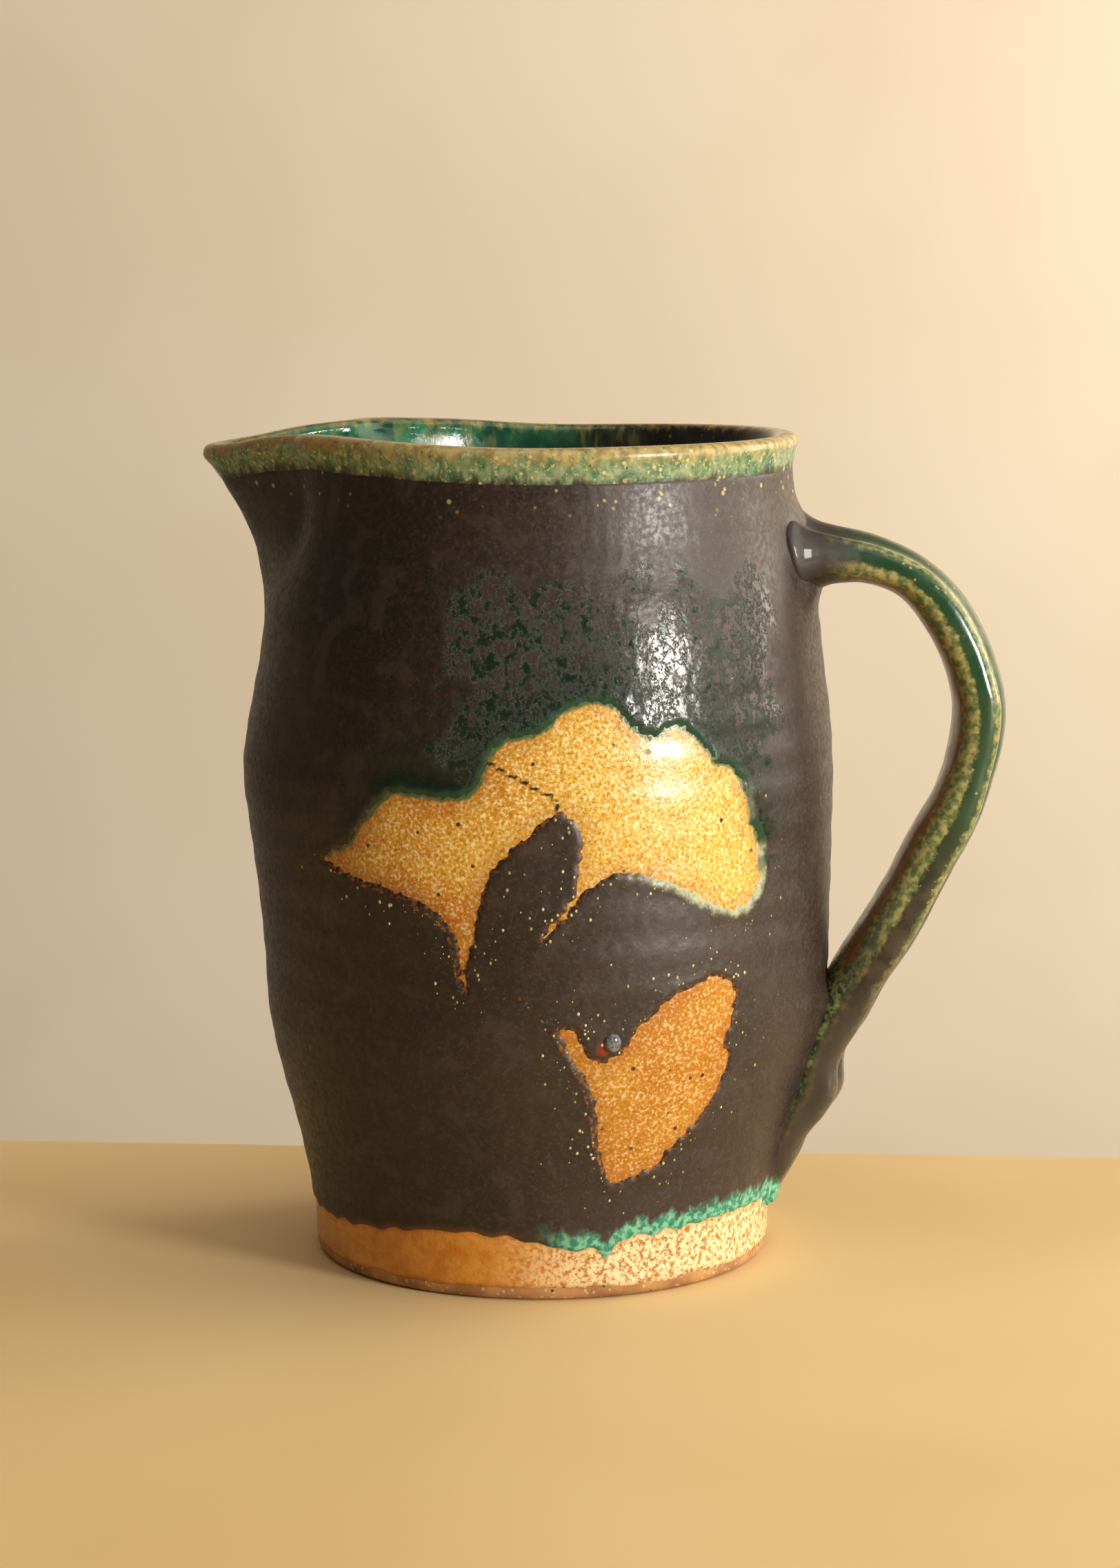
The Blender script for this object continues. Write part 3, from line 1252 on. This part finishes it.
def dress(name: str, finish: object, coat: float = 0.0) -> bpy.types.Material:
    """Turns a finish into a material.

    Args:
        name: the material's name.
        finish: an object whose layers method gives colour, roughness and relief.
        coat: weight of a clear glossy top.

    Returns:
        The material.
    """
    m = Mixer(name)
    colour, rough, relief = finish.layers(m)
    return m.finish(Base_Color=colour, Roughness=rough, IOR=1.52, Coat_Weight=coat,
                    Coat_Roughness=0.08,
                    Normal=m.bumps(relief))


# ------------------------------------------------------------------------------ handle


@dataclass
class Handle:
    """The pulled strap, from the upper luted joint down to the tail smeared on the wall.

    Each station is a share of the pot's height, a share of the reach off the wall, and shares of
    the strap's thickness and width.
    """

    wall: ThrownWall
    width: float
    reach: float
    thickness: float = 11.6
    around: int = 72
    along: int = 250
    stations: tuple[tuple[float, float, float, float], ...] = (
        (0.858, -0.16, 1.55, 1.30), (0.854, 0.17, 1.12, 1.12), (0.848, 0.45, 0.88, 1.0),
        (0.826, 0.70, 0.80, 0.98), (0.781, 0.88, 0.92, 0.98), (0.716, 1.0, 0.94, 0.98),
        (0.653, 1.0, 0.93, 0.98), (0.567, 0.87, 1.0, 0.98), (0.489, 0.69, 1.06, 0.98),
        (0.404, 0.47, 1.06, 0.98), (0.335, 0.26, 1.05, 0.98), (0.263, 0.13, 1.03, 0.96),
        (0.203, 0.12, 1.02, 0.92), (0.153, 0.06, 0.90, 0.86), (0.099, -0.02, 0.75, 0.72),
        (0.058, -0.08, 0.60, 0.50))

    def route(self) -> tuple[Array, Array, Array]:
        """Middle line of the strap with its thickness and width at each point."""
        share, reach, thick, broad = np.array(self.stations).T
        height = self.wall.survey.height
        zero = np.zeros(share.shape)
        x = self.wall.survey.outer_at(zero, share * height) + reach * self.reach
        table = np.stack([x, share * height, thick * self.thickness, broad * self.width], -1)
        runs = [curve_through(list(map(tuple, table[:, [0, k]])), 12)[:, 1] for k in (1, 2, 3)]
        xs = curve_through(list(map(tuple, table[:, [0, 1]])), 12)[:, 0]
        return np.stack([xs, 0.0 * xs, runs[0]], -1), runs[1], runs[2]

    def line(self, name: str, grow: float) -> bpy.types.Object:
        """The route as a line of edges that carries the strap's sizes."""
        points, thick, broad = self.route()
        mesh = bpy.data.meshes.new(name)
        mesh.from_pydata((points * MM).tolist(), [(i, i + 1) for i in range(len(points) - 1)], [])
        mesh.attributes.new("thick", "FLOAT",
                            "POINT").data.foreach_set("value", (thick + 2 * grow) * MM)
        mesh.attributes.new("broad", "FLOAT",
                            "POINT").data.foreach_set("value", (broad + 2 * grow) * MM)
        piece = bpy.data.objects.new(name, mesh)
        bpy.context.scene.collection.objects.link(piece)
        return piece

    def tree(self) -> bpy.types.NodeTree:
        """Geometry Nodes that pull a grooved strap along a line."""
        tree, given = open_tree("pulled strap", "Strap", {
            "Line": ("Geometry", None), "Along": ("Int", self.along), "Around": ("Int", self.around),
            "Groove": ("Float", 0.30), "Glaze": ("Material", None)})

        def sums(operation: str, a: object, b: object = 0.0) -> Socket:
            """One sum on two values."""
            return put(tree, "ShaderNodeMath", {0: a, 1: b}, operation=operation).outputs[0]

        def keep(geometry: object, name: str, value: object, kind: str) -> Socket:
            """Stores a value on the points under a name."""
            return put(tree, "GeometryNodeStoreNamedAttribute",
                       {"Geometry": geometry, "Name": name,
                        "Value": value}, data_type=kind).outputs[0]

        def kept(name: str, kind: str) -> Socket:
            """Reads a value that was stored under a name."""
            return put(tree, "GeometryNodeInputNamedAttribute", {"Name": name},
                       data_type=kind).outputs[0]

        curve = put(tree, "GeometryNodeMeshToCurve", {0: given["Line"]}).outputs[0]
        curve = put(tree, "GeometryNodeResampleCurve",
                    {"Curve": curve, "Count": given["Along"]}).outputs[0]
        curve = keep(curve, "middle", put(tree, "GeometryNodeInputPosition").outputs[0],
                     "FLOAT_VECTOR")
        curve = keep(curve, "heading", put(tree, "GeometryNodeInputTangent").outputs[0],
                     "FLOAT_VECTOR")
        curve = keep(curve, "along", put(tree, "GeometryNodeSplineParameter").outputs["Factor"],
                     "FLOAT")
        loop = put(tree, "GeometryNodeCurvePrimitiveCircle",
                   {"Resolution": given["Around"], "Radius": 0.001}).outputs[0]
        turn = sums("MULTIPLY",
                    sums("DIVIDE", put(tree, "GeometryNodeInputIndex").outputs[0],
                         given["Around"]), TURN)
        loop = keep(loop, "turn", turn, "FLOAT")
        body = put(tree, "GeometryNodeCurveToMesh",
                   {"Curve": curve, "Profile Curve": loop, "Fill Caps": True}).outputs[0]
        turn = kept("turn", "FLOAT")
        cosine, sine = sums("COSINE", turn), sums("SINE", turn)
        across = sums("MULTIPLY", sums("SIGN", cosine),
                      sums("POWER", sums("ABSOLUTE", cosine), 0.82))
        hollow = sums("SINE", sums("MULTIPLY", sums("ABSOLUTE", across), math.pi / 0.88))
        hollow = sums("MULTIPLY", sums("POWER", sums("ABSOLUTE", hollow), 2.0), given["Groove"])
        outward = sums("MULTIPLY", sums("SUBTRACT", 1.0, hollow),
                       sums("POWER", sums("ABSOLUTE", sine), 0.62))
        inward = sums("MULTIPLY", -1.0, sums("POWER", sums("ABSOLUTE", sine), 0.8))
        is_out = sums("GREATER_THAN", sine, 0.0)
        face = put(tree, "ShaderNodeMix", {0: is_out, 2: inward, 3: outward},
                   data_type="FLOAT").outputs[0]
        body = keep(body, "across", across, "FLOAT")
        body = keep(body, "face", face, "FLOAT")
        heading = kept("heading", "FLOAT_VECTOR")
        away = put(tree, "ShaderNodeVectorMath", {0: heading, 1: (0.0, 1.0, 0.0)},
                   operation="CROSS_PRODUCT")
        half_wide = sums("MULTIPLY",
                         sums("MULTIPLY", kept("across", "FLOAT"), kept("broad", "FLOAT")), 0.5)
        half_thick = sums("MULTIPLY",
                          sums("MULTIPLY", kept("face", "FLOAT"), kept("thick", "FLOAT")), 0.5)
        side = put(tree, "ShaderNodeCombineXYZ", {"Y": half_wide}).outputs[0]
        out = put(tree, "ShaderNodeVectorMath", {0: away.outputs[0], 3: half_thick},
                  operation="SCALE").outputs[0]
        shift = put(tree, "ShaderNodeVectorMath", {0: side, 1: out}, operation="ADD").outputs[0]
        place = put(tree, "ShaderNodeVectorMath", {0: kept("middle", "FLOAT_VECTOR"), 1: shift},
                    operation="ADD")
        body = put(tree, "GeometryNodeSetPosition",
                   {"Geometry": body, "Position": place.outputs[0]}).outputs[0]
        body = put(tree, "GeometryNodeSetShadeSmooth", {0: body}).outputs[0]
        body = put(tree, "GeometryNodeRealizeInstances", {0: body}).outputs[0]
        body = put(tree, "GeometryNodeSetMaterial",
                   {"Geometry": body, "Material": given["Glaze"]}).outputs[0]
        put(tree, "NodeGroupOutput", {0: body})
        return tree

    def pull(self, name: str, grow: float, material: bpy.types.Material,
             sizes: dict[str, float]) -> bpy.types.Object:
        """Makes one layer of the strap.

        Args:
            name: the piece's name.
            grow: how far it stands outside the clay strap.
            material: its finish.
            sizes: other named inputs of the tree.

        Returns:
            A plain mesh object.
        """
        piece = apply_tree(self.line(name, grow), self.tree(), {"Glaze": material, **sizes})
        self.press(piece)
        return piece

    def press(self, piece: bpy.types.Object) -> None:
        """Thumb marks, a slight twist of hand, and soft fillets where the strap meets the wall."""
        mesh = piece.data
        count = len(mesh.vertices)
        place = np.zeros(count * 3)
        mesh.vertices.foreach_get("co", place)
        place = place.reshape(-1, 3) / MM
        normal = np.zeros(count * 3)
        mesh.vertices.foreach_get("normal", normal)
        normal = normal.reshape(-1, 3)
        face = np.zeros(count)
        mesh.attributes["face"].data.foreach_get("value", face)
        x, y, z = place.T
        angle = np.arctan2(y, x)
        lump = 0.20 * ripple(y + x, z, 24.0, 61, 5) + 0.04 * ripple(y, z + x, 7.0, 62)
        outside = smooth(0.1, 0.6, face)
        lump -= outside * 1.5 * bump(47.0, 5.0, z) * bump(-2.0, 9.0, y)
        lump += outside * 0.9 * bump(38.0, 4.5, z)
        lump -= outside * 0.8 * bump(27.0, 4.0, z)
        gap = np.hypot(x, y) - self.wall.glazed(angle, np.clip(z, 3.0, 186.0))
        reach = 6.0  # how far off the wall the strap's fillets begin
        fillet = np.maximum(reach - np.maximum(gap, 0.0), 0.0) ** 2 / (3.4 * reach)
        fillet *= smooth(-3.0, 0.0, gap) * smooth(60.0, 90.0, z)
        place += normal * (lump + fillet)[:, None]
        mesh.vertices.foreach_set("co", (place * MM).ravel())
        mesh.update()


def apply_tree(piece: bpy.types.Object, tree: bpy.types.NodeTree,
               inputs: dict[str, object]) -> bpy.types.Object:
    """Runs a Geometry Nodes tree on a piece and keeps the result as a plain mesh.

    Args:
        piece: the object that the tree works on.
        tree: the tree.
        inputs: values for its named inputs.

    Returns:
        The same object, with its new mesh.
    """
    modifier = piece.modifiers.new(tree.name, "NODES")
    modifier.node_group = tree
    for item in tree.interface.items_tree:
        if item.in_out == "INPUT" and item.name in inputs:
            modifier[item.identifier] = inputs[item.name]
    graph = bpy.context.evaluated_depsgraph_get()
    mesh = bpy.data.meshes.new_from_object(piece.evaluated_get(graph), depsgraph=graph)
    piece.modifiers.remove(modifier)
    piece.data = mesh
    return piece


# ------------------------------------------------------------------------------ small pieces


@dataclass
class KilnMarks:
    """Small raised things on the glaze: the bead of a run, and pale blisters of ash."""

    coats: GlazeCoats

    def bead(self) -> bpy.types.Object:
        """The drop that hung at the end of the dark run, sagging slightly down."""
        wall = self.coats.wall
        low, high = (np.array(corner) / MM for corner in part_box(Coat.BEAD.value))
        middle = 0.5 * (low + high)
        turn = math.atan2(middle[1], middle[0])
        seat = float(wall.glazed(np.array([turn]), np.array([middle[2]]))[0])
        out = np.array([math.cos(turn), math.sin(turn), 0.0])
        side = np.array([-math.sin(turn), math.cos(turn), 0.0])
        up = np.array([0.0, 0.0, 1.0])
        size = 0.5 * (high[2] - low[2])
        plump = 0.72 * size  # how far the drop stands out
        rings, spokes = 12, 28
        points = [out * (seat + plump) + up * middle[2]]
        for i in range(1, rings):
            tilt = math.pi * i / rings
            for j in range(spokes):
                a = TURN * j / spokes
                sag = 0.16 * size * math.sin(tilt) * (1.0 - math.sin(a))
                flat = size * math.sin(tilt) ** 0.9
                outwards = out * (seat + plump * math.cos(tilt))
                points.append(outwards + side * flat * math.cos(a)
                              + up * (middle[2] + flat * math.sin(a) - sag))
        points.append(out * (seat - plump) + up * middle[2])
        faces: list[tuple[int, ...]] = grid_faces(rings - 1, spokes, 1, True)
        for j in range(spokes):
            k = (j + 1) % spokes
            faces.append((0, 1 + j, 1 + k))
            tail = 1 + (rings - 2) * spokes
            faces.append((tail + k, tail + j, len(points) - 1))
        return mesh_object(Coat.BEAD.piece, np.array(points), faces)

    def blister_tree(self) -> bpy.types.NodeTree:
        """Geometry Nodes that scatter flattened blisters over a coat."""
        tree, given = open_tree("ash blisters", "Blisters", {
            "Coat": ("Geometry", None), "Per square metre": ("Float", 9e4),
            "Size": ("Float", 0.36 * MM), "Seed": ("Int", 7), "Ash": ("Material", None)})
        where = put(tree, "GeometryNodeInputNamedAttribute", {"Name": "blister"},
                    data_type="FLOAT").outputs[0]
        dense = put(tree, "ShaderNodeMath", {0: where, 1: given["Per square metre"]},
                    operation="MULTIPLY").outputs[0]
        spread = put(tree, "GeometryNodeDistributePointsOnFaces",
                     {"Mesh": given["Coat"], "Density": dense, "Seed": given["Seed"]})
        ball = put(tree, "GeometryNodeMeshIcoSphere",
                   {"Radius": 1.0, "Subdivisions": 2}).outputs[0]
        big = put(tree, "FunctionNodeRandomValue", {"Seed": given["Seed"]}, data_type="FLOAT")
        big.inputs[2].default_value, big.inputs[3].default_value = 0.30, 1.0
        square = put(tree, "ShaderNodeMath", {0: big.outputs[1], 1: 2.2},
                     operation="POWER").outputs[0]
        size = put(tree, "ShaderNodeMath", {0: square, 1: given["Size"]},
                   operation="MULTIPLY").outputs[0]
        scale = put(tree, "ShaderNodeVectorMath", {0: (1.0, 1.25, 0.42), 3: size},
                    operation="SCALE").outputs[0]
        placed = put(tree, "GeometryNodeInstanceOnPoints",
                     {"Points": spread.outputs["Points"], "Instance": ball,
                      "Rotation": spread.outputs["Rotation"], "Scale": scale}).outputs[0]
        real = put(tree, "GeometryNodeRealizeInstances", {0: placed}).outputs[0]
        real = put(tree, "GeometryNodeSetShadeSmooth", {0: real}).outputs[0]
        real = put(tree, "GeometryNodeSetMaterial",
                   {"Geometry": real, "Material": given["Ash"]}).outputs[0]
        put(tree, "NodeGroupOutput", {0: real})
        return tree

    def blisters(self, coat: bpy.types.Object, ash: bpy.types.Material) -> bpy.types.Object:
        """Scatters pale blisters where the glaze thinned: under the leaves and below the rim."""
        numbers: dict[str, Array] = {}
        for key in ("edge_mm", "rise", "rim_mm", "foot_mm", "around_mm"):
            numbers[key] = np.zeros(len(coat.data.vertices))
            coat.data.attributes[key].data.foreach_get("value", numbers[key])
        edge, rim = numbers["edge_mm"], numbers["rim_mm"]
        under = bump(1.5, 5.0, edge) * smooth(0.6, 1.2,
                                              edge) * (1.0 - smooth(0.0, 0.4, numbers["rise"]))
        under = 2.2 * under + 0.10 * bump(9.0, 7.0,
                                          edge) * (1.0 - smooth(0.0, 0.4, numbers["rise"]))
        below_rim = 0.35 * bump(13.5, 3.0, rim) * smooth(-10.0, 40.0, numbers["around_mm"])
        where = (under + below_rim + 0.002) * smooth(0.5, 1.5,
                                                     numbers["foot_mm"]) * smooth(0.5, 1.0, edge)
        cloth = bpy.data.objects.new("ash_blisters", coat.data.copy())
        cloth.data.attributes.new("blister", "FLOAT", "POINT").data.foreach_set("value", where)
        bpy.context.scene.collection.objects.link(cloth)
        return apply_tree(cloth, self.blister_tree(), {"Ash": ash})


# ------------------------------------------------------------------------------ stage


@dataclass
class Studio:
    """Plain pale floor and backdrop, a tall window to the right, soft fill, and the camera."""

    distance: float = 858.0
    camera_height: float = 233.0
    azimuth: float = math.radians(4.0)
    pitch: float = 0.1438
    yaw: float = 0.00499
    lens: float = 85.66  # for a 36 mm long side

    def camera(self) -> None:
        """Sets the camera at the viewing angle."""
        data = bpy.data.cameras.new("camera")
        data.lens, data.sensor_width, data.sensor_fit = self.lens, 36.0, "AUTO"
        data.clip_start, data.clip_end = 0.01, 20.0
        view = bpy.data.objects.new("camera", data)
        view.location = (self.distance * math.sin(self.azimuth) * MM,
                         -self.distance * math.cos(self.azimuth) * MM, self.camera_height * MM)
        view.rotation_euler = (0.5 * math.pi - self.pitch, 0.0, self.azimuth - self.yaw)
        bpy.context.scene.collection.objects.link(view)
        bpy.context.scene.camera = view

    def lamp(self, name: str, azimuth: float, elevation: float, reach: float,
             size: tuple[float, float],
             power: float, colour: str, aim: tuple[float, float,
                                                   float] = (0.0, 0.0, 95.0)) -> None:
        """Adds one soft light.

        Args:
            name: the light's name.
            azimuth: degrees to the right of the camera.
            elevation: degrees above the horizon.
            reach: distance from the pot in millimetres.
            size: width and height in millimetres.
            power: watts.
            colour: sRGB hex colour.
            aim: the place that it looks at.
        """
        data = bpy.data.lights.new(name, "AREA")
        data.shape, data.size, data.size_y = "RECTANGLE", size[0] * MM, size[1] * MM
        data.energy, data.color = power, rgb(colour)[:3]
        light = bpy.data.objects.new(name, data)
        turn, rise = self.azimuth + math.radians(azimuth), math.radians(elevation)
        way = Vector((math.sin(turn) * math.cos(rise), -math.cos(turn) * math.cos(rise),
                      math.sin(rise)))
        light.location = way * reach * MM
        gaze = Vector(aim) * MM - light.location
        light.rotation_euler = gaze.to_track_quat("-Z", "Y").to_euler()
        bpy.context.scene.collection.objects.link(light)

    def lights(self) -> None:
        """The window, a wide soft light behind it, a wash on the backdrop, and a dim room."""
        self.lamp("window", 50.0, 14.0, 1500.0, (320.0, 330.0), 22.0, "#fffaf2")
        self.lamp("room_right", 92.0, 24.0, 1700.0, (1300.0, 1300.0), 14.0, "#fff1de")
        self.lamp("overhead", 30.0, 72.0, 1500.0, (1600.0, 1600.0), 9.0, "#fff2e0")
        self.lamp("wash", 118.0, 20.0, 1500.0, (900.0, 900.0), 15.0, "#fff0dc",
                  (200.0, 1500.0, -350.0))
        world = bpy.data.worlds.new("room")
        world.use_nodes = True
        tree = world.node_tree
        sky = tree.nodes["Background"]
        seen = put(tree, "ShaderNodeLightPath").outputs["Is Camera Ray"]
        shade = put(tree, "ShaderNodeMix", {0: seen, 2: 0.16, 3: 0.8},
                    data_type="FLOAT").outputs[0]
        tree.links.new(shade, sky.inputs["Strength"])
        sky.inputs["Color"].default_value = rgb("#f3e4cf")
        bpy.context.scene.world = world

    def surfaces(self) -> None:
        """A plain pale table top, and a plain warm wall well behind it."""
        edge, wide, turn = 92.0, 2600.0, 4.0
        run = [(-2500.0, 0.0)]
        run += [(edge - turn + turn * math.sin(a), turn * (math.cos(a) - 1.0))
                for a in np.linspace(0.0, 0.5 * math.pi, 6)] + [(edge, -60.0)]
        for name, line, pale, deep in (
                ("table", run, "#e4c892", "#dabb82"),
                ("backdrop", [(1450.0, -1600.0), (1450.0, 2600.0)], "#efe3cf", "#eaddc6")):
            points = np.array([[x, y, z] for y, z in line for x in (-wide, wide)])
            faces = [(2 * i, 2 * i + 1, 2 * i + 3, 2 * i + 2) for i in range(len(line) - 1)]
            piece = mesh_object(name, points, faces)
            m = Mixer(f"limewashed {name}, matt")
            tone = m.layer(m.step(m.noise(200.0, 2.0), 0.3, 0.7), rgb(deep), rgb(pale))
            piece.data.materials.append(m.finish(Base_Color=tone, Roughness=0.7))


# ------------------------------------------------------------------------------ the pot


def settle(piece: bpy.types.Object, material: bpy.types.Material, slot: str, *nodes: str) -> None:
    """Dresses a piece, hangs it on the pot's one body and says what it stands for.

    Args:
        piece: the finished mesh.
        material: its finish.
        slot: the record's material slot.
        nodes: CAD nodes that it replaces.
    """
    piece.data.materials.clear()
    piece.data.materials.append(material)
    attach(piece, "root")
    if nodes:
        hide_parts(*nodes)
    LOG.info("%s: %d triangles", piece.name, sum(len(p.vertices) - 2 for p in piece.data.polygons))


def main() -> None:
    """Builds the pitcher piece by piece, then the studio."""
    logging.basicConfig(level=logging.INFO, format="%(name)s: %(message)s")
    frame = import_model()
    survey = PotSurvey(frame["nodes"]["vessel"])
    wall = ThrownWall(survey)
    coats = GlazeCoats(wall)
    clay = dress("fired stoneware, turned and sponged", FiredClay())
    dark = dress("tenmoku glaze, poured and fired satin", DarkGlaze())
    amber = dress("amber ash glaze, fired glossy", AmberGlaze(), 0.25)
    rim = dress("rutile ash glaze, dipped", RimGlaze())
    liner = dress("copper liner glaze, swilled", LinerGlaze())
    strap = dress("tenmoku glaze, broken on the strap", StrapGlaze(), 0.2)

    settle(coats.clay(), clay, "stoneware_clay", "vessel")
    settle(coats.amber(), amber, Coat.AMBER.value, Coat.AMBER.value)
    dark_coat = coats.dark()
    settle(dark_coat, dark, Coat.DARK.value, Coat.DARK.value)
    settle(coats.rim(), rim, Coat.RIM.value, Coat.RIM.value)
    settle(coats.liner(), liner, Coat.LINER.value, Coat.LINER.value)

    widest = float(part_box("handle")[1][0]) / MM - 0.47 * Handle.thickness
    reach = widest - float(survey.outer_at(np.zeros(1), np.array([0.68 * survey.height]))[0])
    handle = Handle(wall, 27.0, reach)
    settle(handle.pull("handle_clay", -0.1, clay, {"Along": 90, "Around": 32}), clay,
           "handle_clay",
           "handle", "upper_slip_joint", "lower_slip_joint")
    settle(handle.pull(Coat.HANDLE.piece, 0.5, strap, {}), strap, Coat.HANDLE.value,
           Coat.HANDLE.value)

    marks = KilnMarks(coats)
    m = Mixer("grey glaze bead, glossy")
    grey = m.layer(m.step(m.noise(1.0), 0.4, 0.6), rgb("#55565a"), rgb("#7b7d80"))
    settle(marks.bead(), m.finish(Base_Color=grey, Roughness=0.12, IOR=1.52), Coat.BEAD.value,
           Coat.BEAD.value)
    m = Mixer("ash blisters, matt")
    ash = m.layer(m.step(m.noise(9.0), 0.4, 0.6), rgb("#8f8a52"), rgb("#cdc58f"))
    ash_material = m.finish(Base_Color=ash, Roughness=0.4)
    settle(marks.blisters(dark_coat, ash_material), ash_material, Coat.RIM.value)

    studio = Studio()
    studio.camera()
    studio.lights()
    studio.surfaces()
    bpy.context.scene.view_settings.view_transform = "Standard"


if __name__ == "__main__":
    main()
